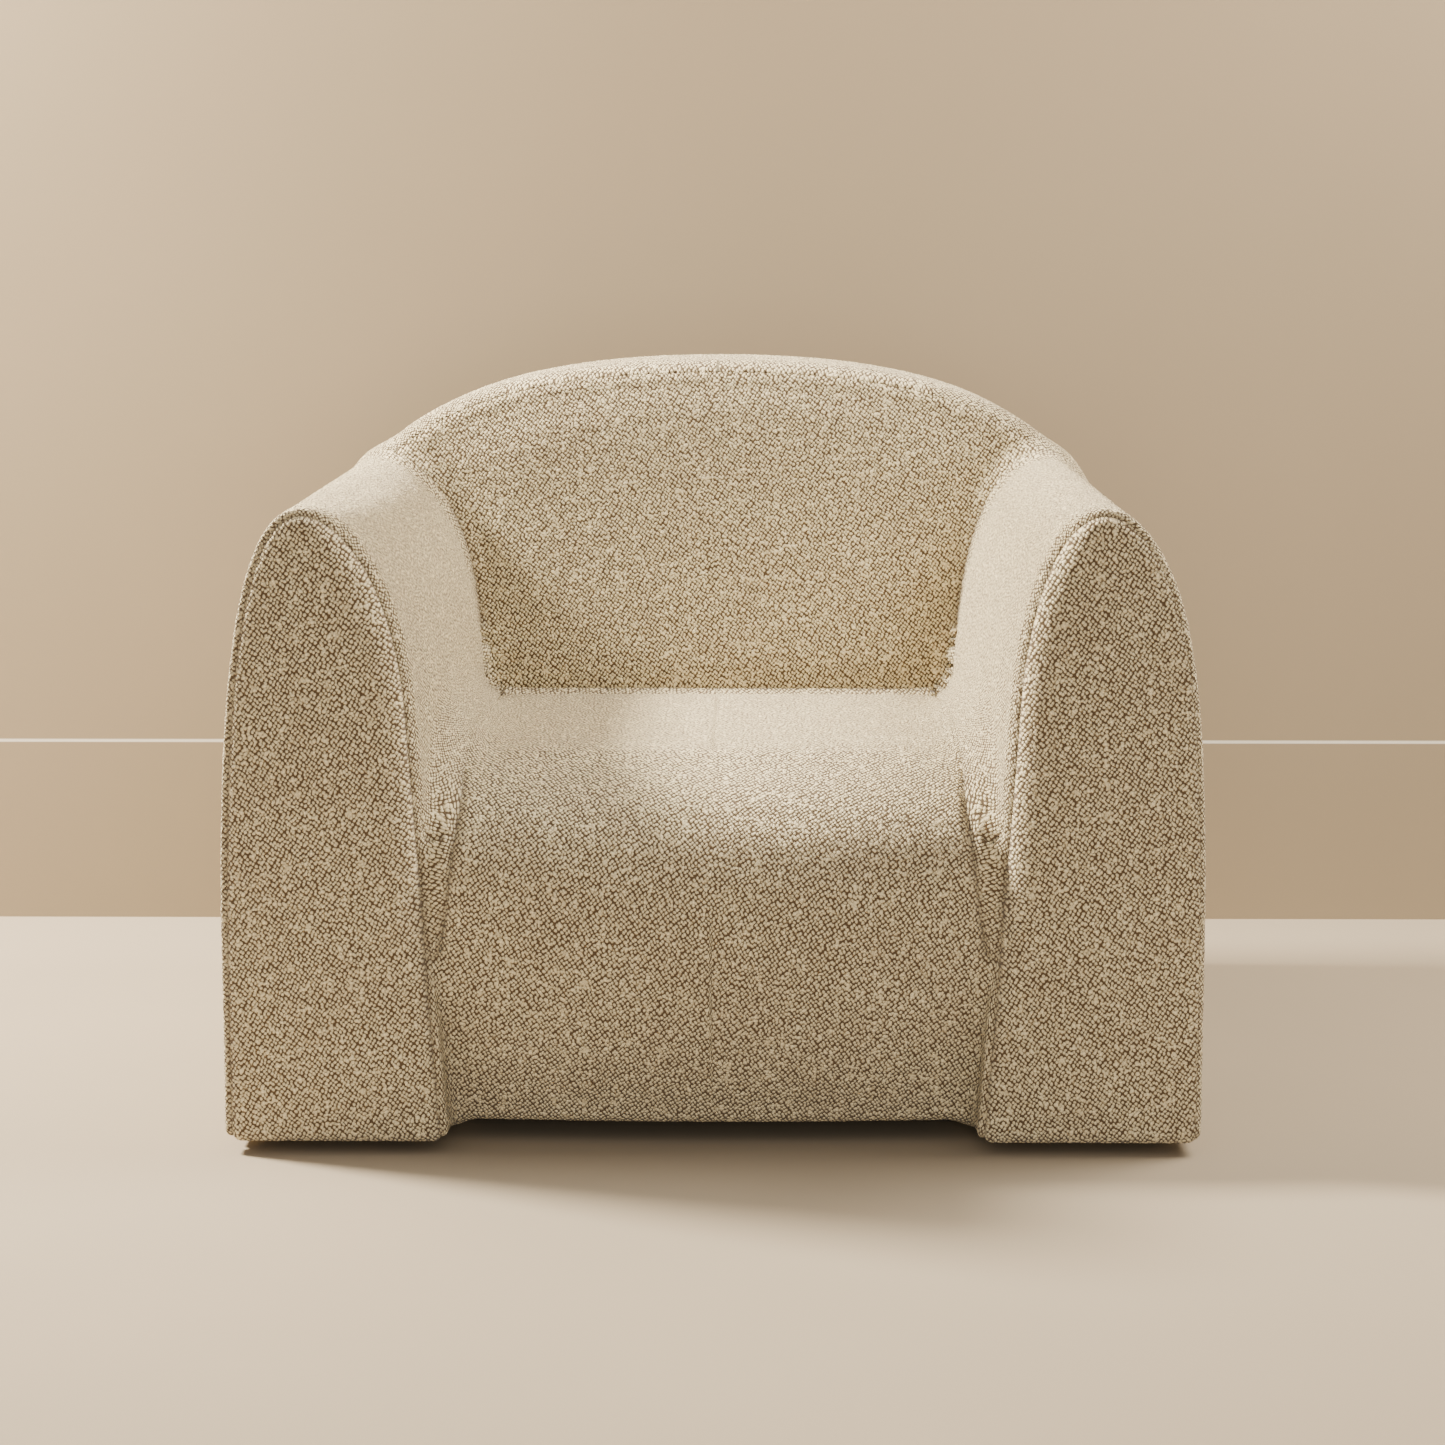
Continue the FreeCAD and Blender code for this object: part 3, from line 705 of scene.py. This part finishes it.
def panel(name, kind, side, form):
    """One sewn panel as a closed pad: the skin's cells of that kind and side, an inner wall set in
    by the wall's thickness against the normals, and a strip that joins the two round the border.
    Underneath, the skin ends at its hem."""
    skin = upholstery(form)
    co, quads, kinds, normal = (skin[k] for k in ("co", "quads", "kinds", "normal"))
    middle = co[quads].mean(1)
    number = LEVEL_NAMES.index(kind) if kind in LEVEL_NAMES else len(LEVEL_NAMES)
    wanted = kinds == number
    if side:
        wanted &= middle[:, 0] * side > 0
    outline = middle * (1, 1, 0) + (0, 0, 0.06)
    under = (middle[:, 2] < SEAT_UNDER + 0.006) & (body(outline, form) < -HEM)
    quads = quads[wanted & ~under]
    used, flat = np.unique(quads, return_inverse=True)
    quads = flat.reshape(-1, 4)
    n = len(used)
    outer = co[used]
    inner = outer - normal[used] * PAD_WALL
    start, end = quads.ravel(), np.roll(quads, -1, axis=1).ravel()
    border = ~np.isin(start * n + end, end * n + start)
    a, b = start[border], end[border]
    strip = np.stack([b, a, a + n, b + n], -1)
    faces = np.vstack([quads, quads[:, ::-1] + n, strip])
    mesh = bpy.data.meshes.new(name)
    mesh.vertices.add(2 * n)
    mesh.vertices.foreach_set("co", np.vstack([outer, inner]).ravel())
    mesh.loops.add(faces.size)
    mesh.loops.foreach_set("vertex_index", faces.ravel())
    mesh.polygons.add(len(faces))
    mesh.polygons.foreach_set("loop_start", np.arange(0, faces.size, 4))
    mesh.polygons.foreach_set("use_smooth", np.ones(len(faces), bool))
    mesh.update(calc_edges=True)
    flat_places = np.stack(weave_map(outer, kind, form), -1)
    weave = mesh.uv_layers.new(name="weave")
    weave.data.foreach_set("uv", np.vstack([flat_places, flat_places])[faces.ravel()].ravel())
    # The seam attribute is painted shade: how strongly the fabric darkens along each seam's groove.
    seam_shadow_layer = mesh.attributes.new("seam", "FLOAT", "POINT")
    near = skin["pull"][used] * np.exp(-(skin["seam"][used] / SHADOW_WIDTH) ** 2)
    seam_shadow_layer.data.foreach_set("value", np.concatenate([near, near]).astype(np.float32))
    pairs = np.empty(len(mesh.edges) * 2, np.int32)
    mesh.edges.foreach_get("vertices", pairs)
    pairs = np.sort(pairs.reshape(-1, 2), axis=1)
    rim = np.sort(np.stack([a, b], -1), axis=1)
    keys = np.concatenate([rim[:, 0] * 2 * n + rim[:, 1], (rim[:, 0] + n) * 2 * n + rim[:, 1] + n])
    sharp = mesh.attributes.new("sharp_edge", "BOOLEAN", "EDGE")
    sharp.data.foreach_set("value", np.isin(pairs[:, 0] * 2 * n + pairs[:, 1], keys))
    made = bpy.data.objects.new(name, mesh)
    bpy.context.scene.collection.objects.link(made)
    made.data.materials.append(boucle())
    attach(made, "root")
    return made


# ---- materials

def node(tree, kind, settings=None, **inputs):
    """Adds a shader node, sets its own settings, and fills or links the sockets named."""
    made = tree.nodes.new(kind)
    for key, value in (settings or {}).items():
        setattr(made, key, value)
    for key, value in inputs.items():
        socket = made.inputs[int(key[1:])] if key[0] == "_" else made.inputs[key.replace("_", " ")]
        if isinstance(value, bpy.types.NodeSocket):
            tree.links.new(value, socket)
        else:
            socket.default_value = value
    return made


def maths(tree, operation, a, b=0.0):
    """One arithmetic step on two values."""
    return node(tree, "ShaderNodeMath", {"operation": operation}, _0=a, _1=b).outputs[0]


def blend(tree, share, a, b, mode="MIX"):
    """Mixes two colours by a share."""
    made = node(tree, "ShaderNodeMix", {"data_type": "RGBA", "blend_type": mode})
    for socket, value in ((made.inputs[0], share), (made.inputs[6], a), (made.inputs[7], b)):
        if isinstance(value, bpy.types.NodeSocket):
            tree.links.new(value, socket)
        else:
            socket.default_value = value
    return made.outputs[2]


def stepped(tree, value, low, high, to_low=0.0, to_high=1.0):
    """Maps a value smoothly from one range to another."""
    made = node(tree, "ShaderNodeMapRange", {"interpolation_type": "SMOOTHSTEP"}, Value=value)
    for key, number in (("From Min", low), ("From Max", high), ("To Min", to_low), ("To Max", to_high)):
        made.inputs[key].default_value = number
    return made.outputs[0]


def new_material(name):
    """A material with its node tree and its surface shader."""
    material = bpy.data.materials.new(name)
    material.use_nodes = True
    tree = material.node_tree
    return material, tree, tree.nodes["Principled BSDF"]


def flat_noise(tree, place, scale, detail):
    """A cloudy pattern over a flat place."""
    return node(tree, "ShaderNodeTexNoise", {"noise_dimensions": "2D"},
                Vector=place, Scale=scale, Detail=detail)


def dress(tree, surface, **outputs):
    """Links outputs to the shader's sockets of those names."""
    for key, output in outputs.items():
        tree.links.new(output, surface.inputs[key.replace("_", " ")])


def own_place(tree):
    """Place on the piece itself."""
    return node(tree, "ShaderNodeTexCoord").outputs["Object"]


def boucle():
    """Looped wool: rounded loops in slanting rows with painted shade in the gaps between them, patches
    where loops close up, stray thick knots, fine fibres over all of it, and a painted shadow along the
    seams."""
    if "boucle_loops" in bpy.data.materials:
        return bpy.data.materials["boucle_loops"]
    finish = bpy.context.scene.armchair_finish
    material, tree, surface = new_material("boucle_loops")
    flat = node(tree, "ShaderNodeUVMap", {"uv_map": "weave"}).outputs[0]
    wander = flat_noise(tree, flat, 70.0, 2.0)
    shift = node(tree, "ShaderNodeVectorMath", {"operation": "SCALE"},
                 _0=wander.outputs["Color"], Scale=0.004)
    moved = node(tree, "ShaderNodeVectorMath", {"operation": "ADD"},
                 _0=flat, _1=shift.outputs[0]).outputs[0]
    rows = node(tree, "ShaderNodeMapping", Vector=moved, Rotation=(0, 0, 0.62),
                Scale=(1.0, 0.86, 1.0)).outputs[0]
    loops = node(tree, "ShaderNodeTexVoronoi", {"voronoi_dimensions": "2D"}, Vector=rows,
                 Scale=1 / finish.loop, Randomness=0.38)
    round_loop = stepped(tree, loops.outputs["Distance"], 0.10, 0.60, 1.0, 0.0)
    patches = flat_noise(tree, flat, 95.0, 2.0)
    closed_up = stepped(tree, patches.outputs["Fac"], 0.56, 0.80)
    strays = node(tree, "ShaderNodeTexVoronoi", {"voronoi_dimensions": "2D"}, Vector=moved,
                  Scale=1 / (1.5 * finish.loop), Randomness=1.0)
    chosen = node(tree, "ShaderNodeSeparateColor", Color=strays.outputs["Color"]).outputs[0]
    knot = maths(tree, "MULTIPLY", stepped(tree, strays.outputs["Distance"], 0.15, 0.55, 1.0, 0.0),
                 stepped(tree, chosen, 0.78, 0.92))
    fibres = flat_noise(tree, flat, 900.0, 3.0)
    height = maths(tree, "MAXIMUM", round_loop, knot)
    height = maths(tree, "MAXIMUM", height, maths(tree, "MULTIPLY", closed_up, 0.46))
    height = maths(tree, "ADD", height, maths(tree, "MULTIPLY", fibres.outputs["Fac"], 0.22))
    # lit is the share of yarn colour, set by the loops' height; the low parts take the painted gap
    # shade.
    lit = stepped(tree, height, 0.21, 0.69)
    cloudy = flat_noise(tree, flat, 14.0, 2.0)
    tone = node(tree, "ShaderNodeSeparateColor", Color=loops.outputs["Color"]).outputs[1]
    yarn = blend(tree, maths(tree, "MULTIPLY", tone, 0.45), tuple(finish.yarn), PALE_YARN)
    yarn = blend(tree, stepped(tree, cloudy.outputs["Fac"], 0.35, 0.7, 0.0, 0.16), yarn, DULL_YARN)
    colour = blend(tree, lit, tuple(finish.gap_shade), yarn)
    # Painted shadow along the seams, mixed in from the seam attribute.
    seam = node(tree, "ShaderNodeAttribute", {"attribute_name": "seam"}).outputs["Fac"]
    colour = blend(tree, maths(tree, "MULTIPLY", seam, 0.50), colour, SEAM_SHADOW)
    bump = node(tree, "ShaderNodeBump", Height=height, Strength=1.0, Distance=0.0020)
    dress(tree, surface, Base_Color=colour, Normal=bump.outputs[0],
          Roughness=stepped(tree, height, 0.0, 1.0, 1.0, 0.88))
    surface.inputs["Sheen Weight"].default_value = 0.25
    surface.inputs["Sheen Roughness"].default_value = 0.6
    surface.inputs["Sheen Tint"].default_value = (1.0, 0.95, 0.87, 1.0)
    surface.inputs["Specular IOR Level"].default_value = 0.15
    return material


def grained(name, colour, stretch, ply_layers):
    """Wood: long streaks of grain, and for plywood the edge's thin layers."""
    material, tree, surface = new_material(name)
    place = own_place(tree)
    along = node(tree, "ShaderNodeMapping", Vector=place, Scale=stretch).outputs[0]
    grain = node(tree, "ShaderNodeTexNoise", Vector=along, Scale=60.0, Detail=6.0, Distortion=0.6)
    pores = node(tree, "ShaderNodeTexNoise", Vector=along, Scale=420.0, Detail=2.0)
    dark = tuple(0.62 * c for c in colour[:3]) + (1.0,)
    tint = blend(tree, stepped(tree, grain.outputs["Fac"], 0.35, 0.70), tuple(colour), dark)
    tint = blend(tree, stepped(tree, pores.outputs["Fac"], 0.60, 0.75, 0.0, 0.35), tint, dark)
    if ply_layers:
        layers = node(tree, "ShaderNodeTexWave", {"bands_direction": "DIAGONAL"}, Vector=place,
                      Scale=180.0, Distortion=0.4)
        tint = blend(tree, maths(tree, "MULTIPLY", layers.outputs["Fac"], 0.28), tint, dark)
    bump = node(tree, "ShaderNodeBump", Height=grain.outputs["Fac"], Strength=0.3, Distance=0.0004)
    dress(tree, surface, Base_Color=tint, Normal=bump.outputs[0],
          Roughness=stepped(tree, grain.outputs["Fac"], 0.2, 0.8, 0.45, 0.7))
    return material


def woven(name, colour, pitch, roughness):
    """Plain weave: two crossing sets of threads, with uneven dye."""
    material, tree, surface = new_material(name)
    place = own_place(tree)
    warp = node(tree, "ShaderNodeTexWave", {"bands_direction": "X"}, Vector=place, Scale=0.31 / pitch)
    weft = node(tree, "ShaderNodeTexWave", {"bands_direction": "Y"}, Vector=place, Scale=0.31 / pitch)
    threads = maths(tree, "MULTIPLY", warp.outputs["Fac"], weft.outputs["Fac"])
    dye = node(tree, "ShaderNodeTexNoise", Vector=place, Scale=30.0, Detail=4.0)
    dark = tuple(0.45 * c for c in colour[:3]) + (1.0,)
    tint = blend(tree, stepped(tree, threads, 0.0, 0.6), dark, tuple(colour))
    tint = blend(tree, stepped(tree, dye.outputs["Fac"], 0.3, 0.7, 0.0, 0.3), tint, dark)
    bump = node(tree, "ShaderNodeBump", Height=threads, Strength=0.6, Distance=0.0005)
    dress(tree, surface, Base_Color=tint, Normal=bump.outputs[0])
    surface.inputs["Roughness"].default_value = roughness
    return material


def fitting(name, colour, metallic, low, high):
    """Metal or moulded nylon: a fine uneven polish."""
    material, tree, surface = new_material(name)
    place = own_place(tree)
    polish = node(tree, "ShaderNodeTexNoise", Vector=place, Scale=350.0, Detail=5.0)
    marks = node(tree, "ShaderNodeTexNoise", Vector=place, Scale=60.0, Detail=3.0)
    worn = tuple(0.7 * c for c in colour[:3]) + (1.0,)
    tint = blend(tree, stepped(tree, marks.outputs["Fac"], 0.4, 0.7, 0.0, 0.5), colour, worn)
    bump = node(tree, "ShaderNodeBump", Height=polish.outputs["Fac"], Strength=0.2, Distance=0.0002)
    dress(tree, surface, Base_Color=tint, Normal=bump.outputs[0],
          Roughness=stepped(tree, polish.outputs["Fac"], 0.3, 0.7, low, high))
    surface.inputs["Metallic"].default_value = metallic
    return material


def finish_nodes(material, names):
    """Gives every named CAD node this finish in place of its plain one."""
    for name in names:
        part = frame["nodes"][name]
        if not part.material_slots:
            part.data.materials.append(material)
        for slot in part.material_slots:
            slot.material = material


def both(*names):
    """Each name with each side in front of it."""
    return [side + name for name in names for side in ("left_", "right_")]


# ---- operators, one for each kind of piece

class ARMCHAIR_OT_arm_fronts(Operator):
    """Sews the two arched front panels, each pad standing for its cover and foam"""
    bl_idname = "armchair.arm_fronts"
    bl_label = "Arm fronts"

    def execute(self, context):
        form = context.scene.armchair_form
        for name, side in (("left", -1), ("right", 1)):
            made = panel(name + "_arm_front_pad", "arm_front", side, form)
            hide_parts(name + "_arm_front_cover", name + "_arm_front_foam")
        return {"FINISHED"}


class ARMCHAIR_OT_arm_covers(Operator):
    """Sews the cover that goes over each arm, from the seat to the outer foot"""
    bl_idname = "armchair.arm_covers"
    bl_label = "Arm covers"

    def execute(self, context):
        form = context.scene.armchair_form
        for name, side in (("left", -1), ("right", 1)):
            made = panel(name + "_arm_pad", "arm_cover", side, form)
            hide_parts(*(name + part for part in (
                "_arm_cover", "_arm_outer_foam", "_arm_inner_foam", "_arm_top_foam")))
        return {"FINISHED"}


class ARMCHAIR_OT_seat(Operator):
    """Sews the seat panel, which rolls over the front and under the toe"""
    bl_idname = "armchair.seat"
    bl_label = "Seat"

    def execute(self, context):
        made = panel("seat_pad", "seat", 0, context.scene.armchair_form)
        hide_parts("seat_cover", "seat_foam", "seat_front_foam")
        return {"FINISHED"}


class ARMCHAIR_OT_back(Operator):
    """Sews the back: its inner panel, the rim round it and the panel behind"""
    bl_idname = "armchair.back"
    bl_label = "Back"

    def execute(self, context):
        form = context.scene.armchair_form
        inner = panel("inner_back_pad", "inner_back", 0, form)
        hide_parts("inner_back_cover", "inner_back_foam")
        rim = panel("back_rim_pad", "back_rim", 0, form)
        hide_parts("back_rim_cover", "back_crown_foam", *both("back_rim_foam"))
        outer = panel("outer_back_pad", "outer_back", 0, form)
        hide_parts("outer_back_cover", "outer_back_foam")
        return {"FINISHED"}


class ARMCHAIR_OT_timber(Operator):
    """Gives the plywood boards and the beech rails, posts and blocks their grain"""
    bl_idname = "armchair.timber"
    bl_label = "Timber"

    def execute(self, context):
        finish = context.scene.armchair_finish
        slots = {m["slot"]: [] for m in frame["record"]["materials"]}
        plywood = grained("plywood_grain", finish.plywood, (1.0, 1.0, 0.12), True)
        beech = grained("beech_grain", finish.beech, (0.12, 1.0, 1.0), False)
        for name, part in frame["nodes"].items():
            own = part.material_slots[0].material.name if part.material_slots else ""
            slots.setdefault(own.split(".")[0], []).append(name)
        finish_nodes(plywood, slots["plywood"])
        finish_nodes(beech, slots["beech"])
        return {"FINISHED"}


class ARMCHAIR_OT_webbing(Operator):
    """Weaves the seat's webbing and the dust cover under the chair"""
    bl_idname = "armchair.webbing"
    bl_label = "Webbing and lining"

    def execute(self, context):
        finish = context.scene.armchair_finish
        finish_nodes(woven("webbing_weave", finish.webbing, 0.0020, 0.85),
                     ["seat_long_webbing", "seat_cross_webbing"])
        finish_nodes(woven("lining_weave", finish.lining, 0.0008, 0.95), ["dust_cover"])
        return {"FINISHED"}


class ARMCHAIR_OT_fittings(Operator):
    """Finishes the bolts, nuts, screws and floor glides"""
    bl_idname = "armchair.fittings"
    bl_label = "Fittings"

    def execute(self, context):
        finish_nodes(fitting("steel_polish", STEEL, 1.0, 0.22, 0.42),
                     ["arm_bolts", "arm_bolt_nuts", "corner_block_screws", "glide_screws"])
        finish_nodes(fitting("nylon_glide", NYLON, 0.0, 0.42, 0.62), ["floor_glides"])
        return {"FINISHED"}


def area_light(name, place, target, size, power, colour):
    """A round light that faces a point."""
    lamp = bpy.data.lights.new(name, "AREA")
    lamp.shape = "DISK"
    lamp.size = size
    lamp.energy = power
    lamp.color = colour
    made = bpy.data.objects.new(name, lamp)
    away = np.array(place, float) - np.array(target, float)
    made.location = place
    made.rotation_euler = (math.acos(away[2] / np.linalg.norm(away)), 0,
                           math.atan2(away[1], away[0]) + math.pi / 2)
    bpy.context.scene.collection.objects.link(made)


def plaster(name, colour, one_sided):
    """Matt paint or screed with a faint cloudiness. A one-sided wall is clear from behind, and has
    a pale line where its skirting ends."""
    material, tree, surface = new_material(name)
    place = own_place(tree)
    cloud = node(tree, "ShaderNodeTexNoise", Vector=place, Scale=1.5, Detail=4.0)
    pale = tuple(min(1.0, 1.04 * c) for c in colour[:3]) + (1.0,)
    tint = blend(tree, stepped(tree, cloud.outputs["Fac"], 0.3, 0.7), tuple(colour), pale)
    if one_sided:
        height = node(tree, "ShaderNodeSeparateXYZ", Vector=place).outputs[2]
        off_line = maths(tree, "ABSOLUTE", maths(tree, "SUBTRACT", height, SKIRTING_HEIGHT))
        tint = blend(tree, stepped(tree, off_line, 0.001, 0.003, 0.8, 0.0), tint, SKIRTING_LINE)
    dress(tree, surface, Base_Color=tint)
    surface.inputs["Roughness"].default_value = 0.9
    surface.inputs["Specular IOR Level"].default_value = 0.1
    if one_sided:
        clear = node(tree, "ShaderNodeBsdfTransparent")
        behind = node(tree, "ShaderNodeNewGeometry").outputs["Backfacing"]
        choice = node(tree, "ShaderNodeMixShader", _0=behind, _1=surface.outputs[0], _2=clear.outputs[0])
        tree.links.new(choice.outputs[0], tree.nodes["Material Output"].inputs[0])
    return material


class ARMCHAIR_OT_stage(Operator):
    """Sets the floor, the wall with its skirting's line, the lights and the camera"""
    bl_idname = "armchair.stage"
    bl_label = "Stage"

    def execute(self, context):
        stage = context.scene.armchair_stage
        wall = stage.wall_distance
        far = STAGE_REACH
        floor = link("floor", [(-far, -far, 0), (far, -far, 0), (far, far, 0), (-far, far, 0)],
                     [[0, 1, 2, 3]])
        floor.data.materials.append(plaster("floor_screed", stage.floor_colour, False))
        backdrop = link("backdrop", [(-far, wall, 0), (far, wall, 0), (far, wall, WALL_HEIGHT),
                                     (-far, wall, WALL_HEIGHT)], [[0, 1, 2, 3]])
        backdrop.data.materials.append(plaster("wall_plaster", stage.wall_colour, True))
        area_light("key", (-2.2, 0.35, 2.25), (0, 0, 0.4), 0.5, stage.key_power, KEY_LIGHT)
        area_light("side", (1.7, 0.2, 2.3), (0, 0, 0.4), 1.6, stage.side_power, SIDE_LIGHT)
        area_light("fill", (0.3, -4.3, 0.5), (0, 0, 0.2), 2.0, stage.fill_power, FILL_LIGHT)
        sky = bpy.data.worlds.new("studio")
        sky.use_nodes = True
        sky.node_tree.nodes["Background"].inputs[0].default_value = SURROUND
        sky.node_tree.nodes["Background"].inputs[1].default_value = 0.62
        context.scene.world = sky
        lens = bpy.data.cameras.new("camera")
        lens.lens = 77.0
        lens.sensor_width = 36.0
        camera = bpy.data.objects.new("camera", lens)
        camera.location = (0.0395, -3.482, 0.900)
        camera.rotation_euler = (math.pi / 2 - 0.148, 0, 0.0096)
        context.scene.collection.objects.link(camera)
        context.scene.camera = camera
        return {"FINISHED"}


STEPS = (ARMCHAIR_OT_arm_fronts, ARMCHAIR_OT_arm_covers, ARMCHAIR_OT_seat, ARMCHAIR_OT_back,
         ARMCHAIR_OT_timber, ARMCHAIR_OT_webbing, ARMCHAIR_OT_fittings, ARMCHAIR_OT_stage)
GROUPS = {"armchair_form": ArmchairForm, "armchair_finish": ArmchairFinish,
          "armchair_stage": ArmchairStage}


class ARMCHAIR_PT_panel(Panel):
    """Sizes, colours and steps of the armchair"""
    bl_idname = "ARMCHAIR_PT_panel"
    bl_label = "Armchair"
    bl_space_type = "VIEW_3D"
    bl_region_type = "UI"
    bl_category = "Armchair"

    def draw(self, context):
        for name, group in GROUPS.items():
            box = self.layout.box()
            for key in group.__annotations__:
                box.prop(getattr(context.scene, name), key)
        for step in STEPS:
            self.layout.operator(step.bl_idname)


def register():
    for group in (*GROUPS.values(), *STEPS, ARMCHAIR_PT_panel):
        bpy.utils.register_class(group)
    for name, group in GROUPS.items():
        setattr(bpy.types.Scene, name, PointerProperty(type=group))


def unregister():
    for name in GROUPS:
        delattr(bpy.types.Scene, name)
    for group in (ARMCHAIR_PT_panel, *reversed(STEPS), *reversed(GROUPS.values())):
        bpy.utils.unregister_class(group)


def main():
    """Registers the add-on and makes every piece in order."""
    register()
    for step in STEPS:
        family, action = step.bl_idname.split(".")
        getattr(getattr(bpy.ops, family), action)()


if __name__ == "__main__":
    main()
